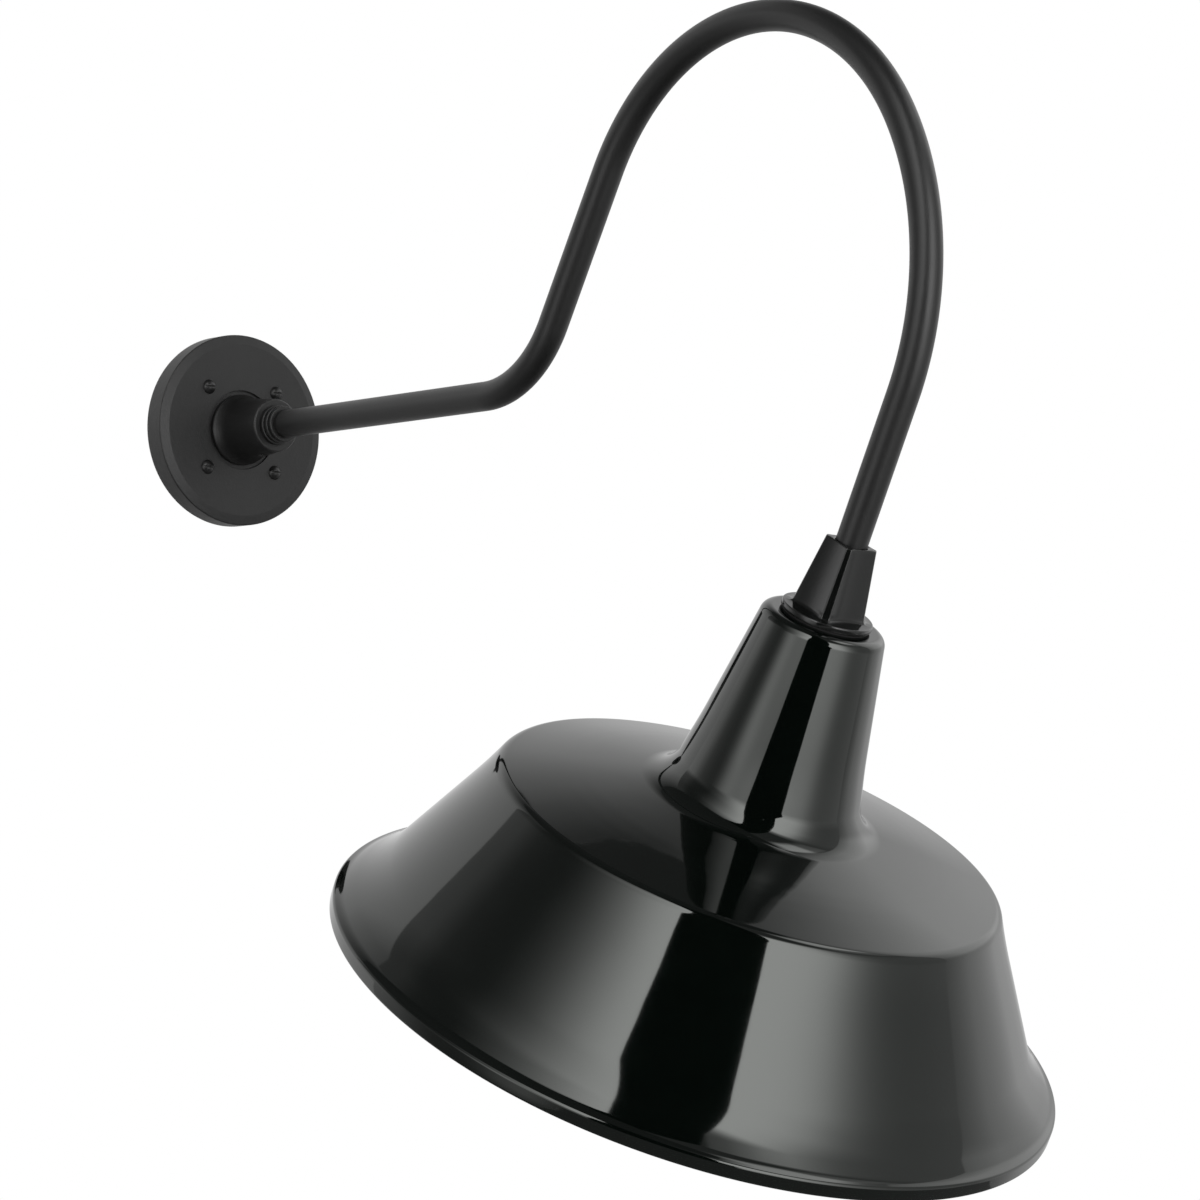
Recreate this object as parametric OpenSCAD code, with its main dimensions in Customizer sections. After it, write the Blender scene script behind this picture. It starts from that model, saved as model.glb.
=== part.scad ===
// Gooseneck barn light for an outside wall: round cast plate and hub, bent pipe arm, finned fitter cap,
// and a deep enamelled steel warehouse shade with a porcelain lampholder in its neck.
// The wall is the plane x = 0, the arm lies in the plane y = 0, and z points up.

/* [Wall plate] */
// Diameter of the round wall plate
plate_d = 150; // [136:1:190]
// Depth of the plate's casting from its back edge to its front face
plate_depth = 19; // [17:0.5:26]
// Wall of the plate's casting
plate_wall = 4; // [3:0.25:5]
// Width of the chamfer round the front face
plate_chamfer_w = 7.5; // [3:0.5:10]
// Depth of that chamfer
plate_chamfer_h = 2; // [1:0.25:4]
// Thickness of the rubber ring between plate and wall
wall_gasket_t = 1.5; // [1:0.25:3]
// Width of the rubber ring
wall_gasket_w = 6; // [4:0.5:10]

/* [Fixing screws] */
// Diameter of the circle of the four fixing screws
screw_pcd = 88.9; // [84:0.1:98]
// Diameter of a fixing screw's shank
screw_d = 4.8; // [4:0.1:6]
// Diameter of its round head
screw_head_d = 11.4; // [9:0.1:12.6]
// Height of its round head
screw_head_h = 4.2; // [3:0.1:5]
// Length of shank behind the wall face
screw_reach = 14; // [8:1:30]
// Width of the driver slot in every slotted screw
slot_w = 1.4; // [0.8:0.1:2]

/* [Hub] */
// Diameter of the hub's foot
hub_foot_d = 55.6; // [52:0.1:60]
// Diameter of the barrel where it leaves the flared foot
hub_barrel_d = 47.4; // [44:0.1:50]
// Diameter of the barrel at its nose
hub_nose_d = 41; // [36:0.1:43]
// Distance from the wall to the hub's nose
hub_nose_x = 68; // [56:1:90]
// Radius of the concave flare from foot to barrel
hub_flare_r = 20; // [14:1:30]
// Height of the flare's end above the plate's face
hub_flare_h = 11.5; // [9:0.5:16]
// Depth of the round recess that the foot sits in
hub_recess_depth = 2.5; // [1:0.25:4]
// Width of the groove left round the foot
hub_recess_gap = 3.2; // [1.5:0.1:4.5]
// Diameter of the hub's threaded spigot through the plate
hub_spigot_d = 33; // [30:0.5:36]

/* [Arm] */
// Outside diameter of the arm's pipe
pipe_d = 21.3; // [20:0.1:22.5]
// Wall of the pipe
pipe_wall = 2.77; // [1.6:0.01:3.2]
// Distance from the wall to the start of the lower bend
arm_reach = 334; // [250:1:450]
// Radius of the lower bend, at the pipe's centre
elbow_r = 89; // [70:1:120]
// Slope of the rising stretch
rise_angle = 60; // [50:1:68]
// Length of the straight rising stretch
rise_len = 116; // [60:1:200]
// Radius of the first part of the crown
crown_r = 168; // [150:1:200]
// Angle that the first part of the crown turns through
crown_turn = 120.5; // [110:0.5:130]
// Radius of the second part of the crown
drop_r = 191; // [160:1:230]
// Length of pipe that shows between the crown and the cap
drop_len = 101; // [60:1:160]
// Length of pipe inside the cap
pipe_in_cap = 33; // [25:1:38]
// Tilt of the shade from the vertical
shade_tilt = 26.7; // [15:0.1:40]

/* [Arm collar] */
// Outside diameter of the collar's widest ring
collar_d = 31; // [28:0.5:35]
// Number of rings on the collar
collar_rings = 3; // [2:1:4]
// Width of one ring
collar_ring_w = 3.4; // [2.5:0.1:5]
// Width of the groove between two rings
collar_groove_w = 0.9; // [0.6:0.1:1.5]
// Loss of diameter from one ring to the next
collar_step = 1.6; // [0:0.1:2.4]

/* [Fitter cap] */
// Diameter of the cap's flange
flange_d = 61; // [56:0.5:68]
// Thickness of the flange
flange_t = 4; // [3:0.25:6]
// Height of the ribbed part above the flange
cap_h = 48; // [44:1:60]
// Diameter over the ribs at their feet
rib_foot_d = 48; // [42:0.2:52]
// Diameter over the ribs at their tops
rib_top_d = 33.6; // [33:0.1:36]
// Width of a rib at its foot
rib_foot_w = 5.6; // [4:0.1:8]
// Width of a rib at its top
rib_top_w = 3.6; // [2.6:0.1:4.6]
// Radius of the concave flutes between the ribs
flute_r = 60; // [50:1:120]
// Diameter of the cap's threaded spigot
cap_spigot_d = 41; // [39:0.5:44]
// Length of that spigot below the flange
cap_spigot_len = 19; // [17:0.5:26]

/* [Shade] */
// Diameter of the shade over its lip
shade_d = 500; // [440:1:560]
// Height of the turned-down lip
lip_h = 9.8; // [8:0.1:14]
// Radius of the bead along the lip's lower edge
bead_r = 1.8; // [1.5:0.1:3]
// Thickness of the enamelled sheet
shade_t = 1.4; // [1:0.1:2]
// Width of the narrow flange inside the lip
rim_flange_w = 5; // [3:0.5:8]
// Diameter over the shoulder between skirt and dome
shoulder_d = 343.2; // [320:1:360]
// Height of the shoulder above the lip's edge
shoulder_h = 127.4; // [110:1:140]
// Radius of the rounded shoulder
shoulder_r = 10; // [5:0.5:16]
// Height of the dome's middle above the shoulder
dome_rise = 11.4; // [6:0.1:18]
// Diameter of the neck where its line meets the dome
neck_foot_d = 131.4; // [122:0.2:140]
// Height of that meeting above the lip's edge
neck_foot_h = 150.2; // [144:0.1:160]
// Radius of the fillet from dome to neck
neck_fillet_r = 26; // [10:1:30]
// Diameter of the neck at its top
neck_top_d = 82; // [76:0.2:92]
// Height of the neck's top above the lip's edge
neck_top_h = 280; // [270:0.5:300]
// Diameter of the neck at its waist, where the flare towards the foot begins
neck_waist_d = 113; // [104:0.2:118]
// Height of the waist above the lip's edge
neck_waist_h = 190; // [180:1:205]
// Radius of the neck's rounded top edge
neck_edge_r = 7; // [3:0.5:8]
// Thickness of the dark gasket between flange and neck
neck_gasket_t = 1.5; // [1:0.25:3]

/* [Lampholder] */
// Outside diameter of the porcelain body
holder_d = 45; // [42:0.5:50]
// Length of the porcelain body
holder_len = 70; // [62:1:76]
// Inside diameter of the screw shell for a medium-base lamp
shell_bore_d = 26.6; // [26.2:0.1:27.2]
// Length of the screw shell
shell_len = 30; // [26:1:34]
// Thickness of the shell's brass sheet
shell_t = 0.5; // [0.4:0.1:0.8]
// Height of the porcelain back cover
cover_h = 22; // [20:0.5:28]
// Outside diameter of the threaded nipple
nipple_d = 9.7; // [9.2:0.1:10.5]
// Thickness of the steel plate that carries the lampholder
bracket_t = 1.6; // [1.2:0.1:2.4]

/* [Leads] */
// Diameter of an insulated lead
lead_d = 2.4; // [1.8:0.1:2.8]
// Distance of a lead's centre from the middle of the pipe
lead_offset = 1.6; // [1.5:0.05:1.75]

/* [Hidden] */
$fn = 96;

satin_black = [0.09, 0.09, 0.09];
gloss_black = [0.05, 0.06, 0.055];
rubber_black = [0.13, 0.13, 0.13];
porcelain = [0.93, 0.92, 0.88];
plated_steel = [0.72, 0.72, 0.70];
brass_yellow = [0.80, 0.66, 0.32];
nut_steel = [0.55, 0.56, 0.56];
fibre_red = [0.45, 0.16, 0.12];
wire_black = [0.06, 0.06, 0.06];
wire_white = [0.90, 0.90, 0.88];
wire_green = [0.10, 0.42, 0.16];
copper_red = [0.78, 0.44, 0.28];

// Clearances: a shaft that turns, a loose fit, a face that only just stays off its neighbour
run_gap = 0.05;
loose_gap = 0.3;
face_gap = 0.3;
// Extra length of a cutting tool past the face that it cuts
over = 1;
// Largest turn of one flat stretch in a rounded outline, in degrees
arc_step = 8;
// Number of sides that stand for a circle along the arm
arm_fn = 60;
// Where two stretches of the arm meet: half the gap between them, and the joining disc's extra radius
seam_gap = 0.05;
seam_skin = 0.05;

// Wall plate and hub, as distances from the wall
face_x = wall_gasket_t + plate_depth;
hub_seat_x = face_x - hub_recess_depth;
hub_pad_t = 4.5;
hub_pad_x = hub_seat_x - hub_pad_t;
recess_d = hub_foot_d + 2 * hub_recess_gap;
pad_d = recess_d + 8;
ceiling_x = face_x - plate_wall;
spigot_back_x = wall_gasket_t + 3;
screw_boss_d = screw_d + 8;
thread_depth = 0.25;
locknut_t = 4;
locknut_d = hub_spigot_d + 15;
locknut_notches = 6;
ground_r = pad_d / 2 + 1;
ground_d = 4;
ground_boss_d = 9;
ground_boss_x = ceiling_x - 5;
ground_head_d = 7.6;
ground_head_h = 2.4;
ground_ring_t = 0.8;
set_screw_d = 6;
hex_key_af = 3;
barrel_taper = atan((hub_barrel_d - hub_nose_d) / 2 / (hub_nose_x - face_x - hub_flare_h));

// Arm, as points [x, z] and headings
pipe_back_x = spigot_back_x + 3;
h_rise = rise_angle;
h_crown = h_rise - crown_turn;
h_drop = -90 - shade_tilt;
p_elbow = [arm_reach, 0];
c_elbow = p_elbow + elbow_r * [0, 1];
p_rise = c_elbow + elbow_r * [sin(h_rise), -cos(h_rise)];
p_crown = p_rise + rise_len * [cos(h_rise), sin(h_rise)];
c_crown = p_crown + crown_r * [sin(h_rise), -cos(h_rise)];
p_drop = c_crown + crown_r * [-sin(h_crown), cos(h_crown)];
c_drop = p_drop + drop_r * [sin(h_crown), -cos(h_crown)];
p_fall = c_drop + drop_r * [-sin(h_drop), cos(h_drop)];
p_cap = p_fall + drop_len * [cos(h_drop), sin(h_drop)];

// Lamp head, as heights above the lip's lower edge on the shade's own axis
flange_z = neck_top_h + neck_gasket_t;
rib_z = flange_z + flange_t;
cap_top_z = rib_z + cap_h;
pipe_end_z = cap_top_z - pipe_in_cap;
spigot_end_z = flange_z - cap_spigot_len;
cap_passage_d = 24;
cap_passage_top = rib_z + 4;
cap_throat_d = pipe_d - 2 * pipe_wall;
cap_mouth_flare = 1;
neck_opening_d = cap_spigot_d + 1;
neck_gasket_d = flange_d - 3;
neck_washer_t = 1;
ring_nut_t = 7;
ring_nut_d = cap_spigot_d + 17;
ring_nut_notches = 4;
washer_top_z = neck_top_h - shade_t;
nut_top_z = washer_top_z - neck_washer_t;
bracket_z = spigot_end_z - bracket_t;
bracket_d = cap_spigot_d - 1;
bracket_screw_r = (cap_passage_d + cap_spigot_d) / 4;
bracket_screw_d = 3.5;
nipple_bore_d = 2 * lead_offset + lead_d + 1;
nipple_nut_t = 4;
nipple_nut_af = 14;
cover_top_z = bracket_z;
cover_z = cover_top_z - cover_h;
cover_top_d = 2 * bracket_screw_r - 8.5;
chamber_h = 10;
cover_side_h = 14;
cover_screw_seat = 12;
chamber_d = holder_d - 15;
nipple_end_z = cover_z + chamber_h;
cover_screw_d = 3;
cover_head_d = 5.6;
cover_screw_r = (holder_d + chamber_d) / 4;
holder_mouth_z = cover_z - holder_len;
shell_gap = 0.6;
shell_base_z = holder_mouth_z + 5 + shell_len;
block_t = 5;
well_d = shell_bore_d + 2 * shell_t + 2 * shell_gap;
contact_d = 8;
contact_h = 2.5;
shell_neck_h = contact_h + 2;
shell_neck_step = 0.7;
contact_hole_d = 11;
terminal_d = 3.5;
terminal_head_d = 6.6;
terminal_head_h = 6;
terminal_r = chamber_d / 2 - terminal_head_d / 2 - 0.4;
tail_bend_r = 5;
tail_run_z = cover_z + terminal_head_h / 2;

// Corners of the shade's outer face from lip to neck opening, and the radius of each
shade_r = shade_d / 2;
rim_rise = 2.3;
foot_fillet_r = 15;
foot_corner = [shade_r - rim_flange_w, lip_h + rim_rise];
shoulder_corner = [shoulder_d / 2, shoulder_h];
// The skirt sags inwards from the straight line between foot and shoulder, by shares of its length
skirt_len = norm(shoulder_corner - foot_corner);
function on_skirt(share, sag) =
    let (way = shoulder_corner - foot_corner)
    foot_corner + share * way + sag * [-way[1], way[0]];
dome_mid = [shoulder_d / 4 + neck_foot_d / 4 + 5.8, shoulder_h + dome_rise];
SHADE_CORNERS = [[shade_r, bead_r], [shade_r, lip_h], foot_corner, on_skirt(0.1687, 0.047), on_skirt(0.8352, 0.019),
                 shoulder_corner, dome_mid, [neck_foot_d / 2, neck_foot_h],
                 [neck_waist_d / 2, neck_waist_h], [neck_top_d / 2, neck_top_h], [neck_opening_d / 2, neck_top_h]];
SHADE_RADII = [0, 2.5, foot_fillet_r, 0.66 * skirt_len, 2.78 * skirt_len, shoulder_r, 800, neck_fillet_r, 400,
               neck_edge_r, 0];

function heading(a, b) = atan2(b[1] - a[1], b[0] - a[0]);
function turn_between(h0, h1) = (h1 - h0 + 540) % 360 - 180;
function arc_points(c, r, a0, a1) =
    let (n = max(1, ceil(abs(a1 - a0) / arc_step)))
    [for (i = [0:n]) c + r * [cos(a0 + (a1 - a0) * i / n), sin(a0 + (a1 - a0) * i / n)]];
// A corner of a path, rounded with radius r and moved to the left of the path by d
function corner_points(p, h0, turn, r, d) =
    let (side = turn < 0 ? -1 : 1,
         c = p + side * r / cos(turn / 2) * [-sin(h0 + turn / 2), cos(h0 + turn / 2)])
    arc_points(c, r - side * d, h0 - side * 90, h0 + turn - side * 90);
// A path with rounded corners, moved to its left by d
function rounded_path(p, radii, d = 0) =
    [for (i = [0:len(p) - 1])
        let (last = len(p) - 1,
             h0 = heading(p[max(i - 1, 0)], p[max(i, 1)]),
             h1 = heading(p[min(i, last - 1)], p[min(i + 1, last)]),
             turn = turn_between(h0, h1))
        each i == 0 || i == last || radii[i] == 0
            ? [p[i] + d / cos(turn / 2) * [-sin(h0 + turn / 2), cos(h0 + turn / 2)]]
            : corner_points(p[i], h0, turn, radii[i], d)];
function reversed(list) = [for (i = [len(list) - 1:-1:0]) list[i]];
function hex_radius(across_flats) = across_flats / 2 / cos(30);

// Places its children on the wall's axis, their z along the way out of the wall
module on_wall_axis() {
    rotate([0, 90, 0]) children();
}

// Places its children on the shade's axis, their z = 0 at the lip's lower edge
module on_head_axis() {
    head = p_cap + cap_top_z * [cos(h_drop), sin(h_drop)];
    translate([head[0], 0, head[1]]) rotate([0, shade_tilt, 0]) children();
}

// A ring or tube between two heights
module ring(d_out, d_in, z0, z1) {
    difference() {
        translate([0, 0, z0]) cylinder(d = d_out, h = z1 - z0);
        translate([0, 0, z0 - over]) cylinder(d = d_in, h = z1 - z0 + 2 * over);
    }
}

// A ring nut with notches cut in its edge
module notched_nut(d_out, d_in, z0, z1, notches, notch_w) {
    difference() {
        ring(d_out, d_in, z0, z1);
        for (i = [0:notches - 1])
            rotate([0, 0, 360 / notches * i])
                translate([d_out / 2 - notch_w / 2, -notch_w / 2, z0 - over])
                    cube([notch_w, notch_w, z1 - z0 + 2 * over]);
    }
}

// A slotted screw with a domed head on z = 0, its shank below and its slot along y
module round_head_screw(d, head_d, head_h, len) {
    ball_r = (head_d * head_d / 4 + head_h * head_h) / (2 * head_h);
    difference() {
        union() {
            rotate_extrude() intersection() {
                translate([0, head_h - ball_r]) circle(r = ball_r);
                square([head_d / 2, head_h]);
            }
            translate([0, 0, -len]) cylinder(d = d, h = len + head_h / 2);
        }
        translate([-slot_w / 2, -head_d / 2 - over, head_h * 0.45])
            cube([slot_w, head_d + 2 * over, head_h]);
    }
}

// A headless screw with a hexagon socket, from z = 0 to z = len
module grub_screw(d, len) {
    difference() {
        cylinder(d = d, h = len);
        translate([0, 0, len - d / 2]) cylinder(r = hex_radius(hex_key_af), h = d, $fn = 6);
    }
}

// The positions of the four fixing screws
module at_fixing_screws() {
    for (a = [45:90:315]) rotate([0, 0, a]) translate([screw_pcd / 2, 0, 0]) rotate([0, 0, -a]) children();
}

// The arm's centreline as a solid of radius r, from x0 to end_len past the crown, moved sideways by shift.
// Its stretches end a hair apart and a short disc joins each pair, so that no two ends only touch.
module arm_run(r, x0, end_len, shift = 0) {
    $fn = arm_fn;
    translate([0, shift, 0]) {
        arm_straight([x0, 0], 0, 0, arm_reach - x0 - seam_gap, r);
        arm_seam(p_elbow, 0, r);
        arm_bend(c_elbow, elbow_r, -90, h_rise - 90, r);
        arm_seam(p_rise, h_rise, r);
        arm_straight(p_rise, h_rise, seam_gap, rise_len - seam_gap, r);
        arm_seam(p_crown, h_rise, r);
        arm_bend(c_crown, crown_r, h_crown + 90, h_rise + 90, r);
        arm_seam(p_drop, h_crown, r);
        arm_bend(c_drop, drop_r, h_drop + 90, h_crown + 90, r);
        arm_seam(p_fall, h_drop, r);
        arm_straight(p_fall, h_drop, seam_gap, end_len, r);
    }
}

// A straight stretch from p along the heading h, between the distances d0 and d1
module arm_straight(p, h, d0, d1, r) {
    translate([p[0], 0, p[1]]) rotate([0, 90 - h, 0]) translate([0, 0, d0]) cylinder(r = r, h = d1 - d0);
}

// A bend about c between the angles a0 and a1
module arm_bend(c, bend_r, a0, a1, r) {
    seam_a = asin(seam_gap / bend_r);
    translate([c[0], 0, c[1]]) rotate([90, 0, 0]) rotate([0, 0, a0 + seam_a])
        rotate_extrude(angle = a1 - a0 - 2 * seam_a) translate([bend_r, 0]) circle(r = r);
}

// The disc between two stretches
module arm_seam(p, h, r) {
    arm_straight(p, h, -4 * seam_gap, 4 * seam_gap, r + seam_skin);
}

// Round cast plate: chamfered face, recess for the hub, hollow back with bosses
module wall_plate() {
    rim = [[plate_d / 2, wall_gasket_t], [plate_d / 2, face_x - plate_chamfer_h],
           [plate_d / 2 - plate_chamfer_w, face_x], [0, face_x]];
    hollow = [[0, wall_gasket_t - over], [plate_d / 2 - plate_wall, wall_gasket_t - over],
              [plate_d / 2 - plate_wall, ceiling_x], [pad_d / 2 + 2, ceiling_x],
              [pad_d / 2, hub_pad_x], [0, hub_pad_x]];
    color(satin_black) on_wall_axis() difference() {
        union() {
            difference() {
                rotate_extrude() polygon(concat([[0, wall_gasket_t]], rounded_path(rim, [0, 1, 1.5, 0])));
                rotate_extrude() polygon(hollow);
            }
            at_fixing_screws() translate([0, 0, wall_gasket_t])
                cylinder(d = screw_boss_d, h = ceiling_x - wall_gasket_t + plate_wall / 2);
            translate([ground_r, 0, ground_boss_x])
                cylinder(d = ground_boss_d, h = ceiling_x - ground_boss_x + plate_wall / 2);
        }
        at_fixing_screws() cylinder(d = screw_d + 2 * loose_gap, h = face_x + over);
        translate([ground_r, 0, ground_boss_x - over]) cylinder(d = ground_d, h = over + 5.5);
        cylinder(d = hub_spigot_d + 2 * loose_gap, h = face_x + over);
        translate([0, 0, hub_seat_x]) cylinder(d = recess_d, h = hub_recess_depth + over);
    }
}

// Flat rubber ring behind the plate's rim
module plate_gasket() {
    color(rubber_black) on_wall_axis()
        ring(plate_d - 1, plate_d - 1 - 2 * wall_gasket_w, 0, wall_gasket_t);
}

// Four slotted screws into the wall box: a plain shank through the plate and a thicker rolled thread behind it
module plate_screws() {
    thread_top = wall_gasket_t / 2;
    color(satin_black) on_wall_axis() at_fixing_screws() {
        translate([0, 0, face_x])
            round_head_screw(screw_d - 2 * thread_depth, screw_head_d, screw_head_h, face_x + screw_reach / 2);
        translate([0, 0, -screw_reach]) cylinder(d = screw_d, h = screw_reach + thread_top);
    }
}

// Turned hub: spigot, flared foot, tapering barrel and a plain bore for the pipe
module arm_hub() {
    barrel_x = face_x + hub_flare_h;
    flare_c = [hub_barrel_d / 2, barrel_x] + hub_flare_r * [cos(barrel_taper), sin(barrel_taper)];
    flare_end = 360 - acos((hub_foot_d / 2 - flare_c[0]) / hub_flare_r);
    nose = rounded_path([[hub_barrel_d / 2, barrel_x], [hub_nose_d / 2, hub_nose_x], [0, hub_nose_x]],
                        [0, 1.4, 0]);
    outline = concat([[0, spigot_back_x], [hub_spigot_d / 2, spigot_back_x], [hub_spigot_d / 2, hub_seat_x],
                      [hub_foot_d / 2, hub_seat_x]],
                     arc_points(flare_c, hub_flare_r, flare_end, 180 + barrel_taper), nose);
    color(satin_black) on_wall_axis() difference() {
        rotate_extrude() polygon(outline);
        translate([0, 0, spigot_back_x - over])
            cylinder(d = pipe_d + 2 * run_gap, h = hub_nose_x - spigot_back_x + 2 * over);
        at_hub_set_screw() cylinder(d = set_screw_d, h = hub_barrel_d);
    }
}

// The radial hole of the hub's set screw, under the barrel
module at_hub_set_screw() {
    set_x = (face_x + hub_flare_h + hub_nose_x) / 2;
    translate([0, 0, set_x]) rotate([0, 90, 0]) children();
}

// Notched nut that clamps the hub's spigot inside the plate
module hub_locknut() {
    color(plated_steel) on_wall_axis()
        notched_nut(locknut_d, hub_spigot_d + 2 * run_gap, hub_pad_x - locknut_t, hub_pad_x,
                    locknut_notches, 4);
}

// Grub screw that locks the pipe in the hub
module hub_set_screw() {
    tip_r = pipe_d / 2 + face_gap;
    color(satin_black) on_wall_axis() at_hub_set_screw() translate([0, 0, tip_r])
        grub_screw(set_screw_d, hub_nose_d / 2 - tip_r);
}

// Bonding screw on its boss inside the plate, head towards the wall
module ground_screw() {
    color(wire_green) on_wall_axis() translate([ground_r, 0, ground_boss_x - ground_ring_t])
        mirror([0, 0, 1]) round_head_screw(ground_d, ground_head_d, ground_head_h, 5);
}

// Ring terminal and bonding lead that lies round the hub's locknut
module ground_lead() {
    ring_z = ground_boss_x - ground_ring_t;
    crimp_y = ground_head_d / 2 + 2 * loose_gap;
    crimp_len = 3.5;
    color(wire_green) on_wall_axis() {
        translate([ground_r, 0, 0]) ring(8.4, ground_d + 0.2, ring_z, ground_boss_x);
        translate([ground_r - lead_d / 2, 3, ring_z])
            cube([lead_d, crimp_y + crimp_len - 3, ground_ring_t]);
        translate([ground_r - lead_d / 2, crimp_y, ring_z - lead_d / 2])
            cube([lead_d, crimp_len, lead_d / 2 + ground_ring_t]);
        rotate([0, 0, asin((crimp_y + crimp_len - 1) / ground_r)]) translate([0, 0, ring_z - lead_d / 2])
            rotate_extrude(angle = 70) translate([ground_r, 0]) circle(d = lead_d);
    }
}

// One length of pipe: level, bent up, over the crown and down into the cap
module gooseneck_tube() {
    color(satin_black) difference() {
        arm_run(pipe_d / 2, pipe_back_x, drop_len + pipe_in_cap);
        arm_run(pipe_d / 2 - pipe_wall, pipe_back_x - over, drop_len + pipe_in_cap + over);
    }
}

// Ringed collar jammed against the hub's nose
module arm_collar() {
    color(satin_black) on_wall_axis() for (i = [0:collar_rings - 1]) {
        z0 = hub_nose_x + face_gap + i * (collar_ring_w + collar_groove_w);
        ring_d = collar_d - i * collar_step;
        ring(ring_d, pipe_d, z0, z0 + collar_ring_w);
        if (i < collar_rings - 1)
            ring(ring_d - collar_step - 2, pipe_d, z0 + collar_ring_w / 2, z0 + collar_ring_w * 1.5);
    }
}

// Insulating bush in the pipe's end inside the plate
module arm_bushing() {
    bore_d = 2 * (lead_offset + lead_d / 2) + 1;
    inner_d = pipe_d - 2 * pipe_wall;
    color(rubber_black) on_wall_axis() {
        ring(pipe_d - 1, bore_d, pipe_back_x - 1.5, pipe_back_x);
        ring(inner_d, bore_d, pipe_back_x - 0.5, pipe_back_x + 6);
    }
}

// An insulated lead through the whole arm, to one side of its centre
module arm_lead(side) {
    arm_run(lead_d / 2, wall_gasket_t + 4, drop_len + pipe_in_cap, side * lead_offset);
}

// Black lead through the arm
module line_lead() {
    color(wire_black) arm_lead(-1);
}

// White lead through the arm
module neutral_lead() {
    color(wire_white) arm_lead(1);
}

// Bare copper ends of the two leads inside the plate
module lead_ends() {
    color(copper_red) for (side = [-1, 1]) translate([1, side * lead_offset, 0])
        rotate([0, 90, 0]) cylinder(d = lead_d * 0.6, h = wall_gasket_t + 3);
}

// Distance from the cap's axis to a flute's axis where ribs of width w end at radius r
function flute_axis(r, w) =
    let (corner = [sqrt(r * r - w * w / 4), w / 2],
         along = (corner[0] + corner[1]) * cos(45))
    along + sqrt(along * along + flute_r * flute_r - r * r);

// Cast fitter: four tapering ribs, concave flutes, round flange and threaded spigot
module finned_cap() {
    foot_axis = flute_axis(rib_foot_d / 2, rib_foot_w);
    top_axis = flute_axis(rib_top_d / 2, rib_top_w);
    lean = atan((foot_axis - top_axis) / cap_h);
    flange = [[0, flange_z], [flange_d / 2, flange_z], [flange_d / 2, rib_z], [rib_foot_d / 2, rib_z], [0, rib_z]];
    color(gloss_black) on_head_axis() difference() {
        union() {
            difference() {
                translate([0, 0, rib_z]) cylinder(d1 = rib_foot_d, d2 = rib_top_d, h = cap_h);
                for (a = [0:90:270])
                    rotate([0, 0, a]) translate([foot_axis, 0, rib_z]) rotate([0, -lean, 0])
                        translate([0, 0, -cap_h / 4]) cylinder(r = flute_r, h = cap_h * 1.5, $fn = 192);
            }
            rotate_extrude() polygon(rounded_path(flange, [0, 0.8, 0.8, 0, 0]));
            translate([0, 0, spigot_end_z]) cylinder(d = cap_spigot_d, h = cap_spigot_len + flange_t / 2);
        }
        translate([0, 0, pipe_end_z - 0.5]) cylinder(d = pipe_d + 2 * run_gap, h = cap_h + over);
        translate([0, 0, cap_top_z - cap_mouth_flare])
            cylinder(d1 = pipe_d + 2 * run_gap, d2 = pipe_d + 2 * run_gap + 2 * cap_mouth_flare,
                     h = cap_mouth_flare + 0.01);
        translate([0, 0, spigot_end_z - over]) cylinder(d = cap_throat_d, h = cap_h + cap_spigot_len);
        translate([0, 0, spigot_end_z - over])
            cylinder(d = cap_passage_d, h = cap_passage_top - spigot_end_z + over);
        at_bracket_screws() translate([0, 0, spigot_end_z - over]) cylinder(d = bracket_screw_d, h = 13);
        at_cap_set_screw() cylinder(d = set_screw_d, h = rib_foot_d);
    }
}

// The radial hole of the cap's set screw, in the flute on the wall's side
module at_cap_set_screw() {
    set_z = pipe_end_z + pipe_in_cap * 0.35;
    translate([0, 0, set_z]) rotate([0, -90, 0]) children();
}

// Grub screw that locks the cap on the pipe
module cap_set_screw() {
    tip_r = pipe_d / 2 + face_gap;
    color(satin_black) on_head_axis() at_cap_set_screw() translate([0, 0, tip_r])
        grub_screw(set_screw_d, 4);
}

// Dark ring that shows between the flange and the neck
module neck_gasket() {
    color(rubber_black) on_head_axis()
        ring(neck_gasket_d, cap_spigot_d + 2 * loose_gap, neck_top_h, flange_z);
}

// Spun steel shade: beaded lip, flared skirt, round shoulder, low dome and tapering neck
module shade() {
    outside = rounded_path(SHADE_CORNERS, SHADE_RADII);
    inside = rounded_path(SHADE_CORNERS, SHADE_RADII, shade_t);
    color(gloss_black) on_head_axis() {
        rotate_extrude() union() {
            polygon(concat(outside, reversed(inside)));
            translate([shade_r - bead_r, bead_r]) circle(r = bead_r);
        }
    }
}

// Fibre washer under the neck's inner shelf
module neck_washer() {
    color(fibre_red) on_head_axis()
        ring(ring_nut_d, cap_spigot_d + 2 * loose_gap, nut_top_z, washer_top_z);
}

// Notched ring nut on the cap's spigot that clamps the shade
module neck_ring_nut() {
    color(plated_steel) on_head_axis()
        notched_nut(ring_nut_d, cap_spigot_d, nut_top_z - ring_nut_t, nut_top_z, ring_nut_notches, 6);
}

// The positions of the two bracket screws
module at_bracket_screws() {
    for (side = [-1, 1]) translate([0, side * bracket_screw_r, 0]) children();
}

// Round steel plate under the spigot that carries the lampholder
module socket_bracket() {
    color(plated_steel) on_head_axis() difference() {
        ring(bracket_d, nipple_d, bracket_z, spigot_end_z);
        at_bracket_screws() translate([0, 0, bracket_z - over])
            cylinder(d = bracket_screw_d + 2 * run_gap, h = bracket_t + 2 * over);
    }
}

// Two screws that hold the plate to the cap
module bracket_screws() {
    color(nut_steel) on_head_axis() at_bracket_screws() translate([0, 0, bracket_z])
        mirror([0, 0, 1]) round_head_screw(bracket_screw_d, 6.4, 2.2, 12);
}

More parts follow.
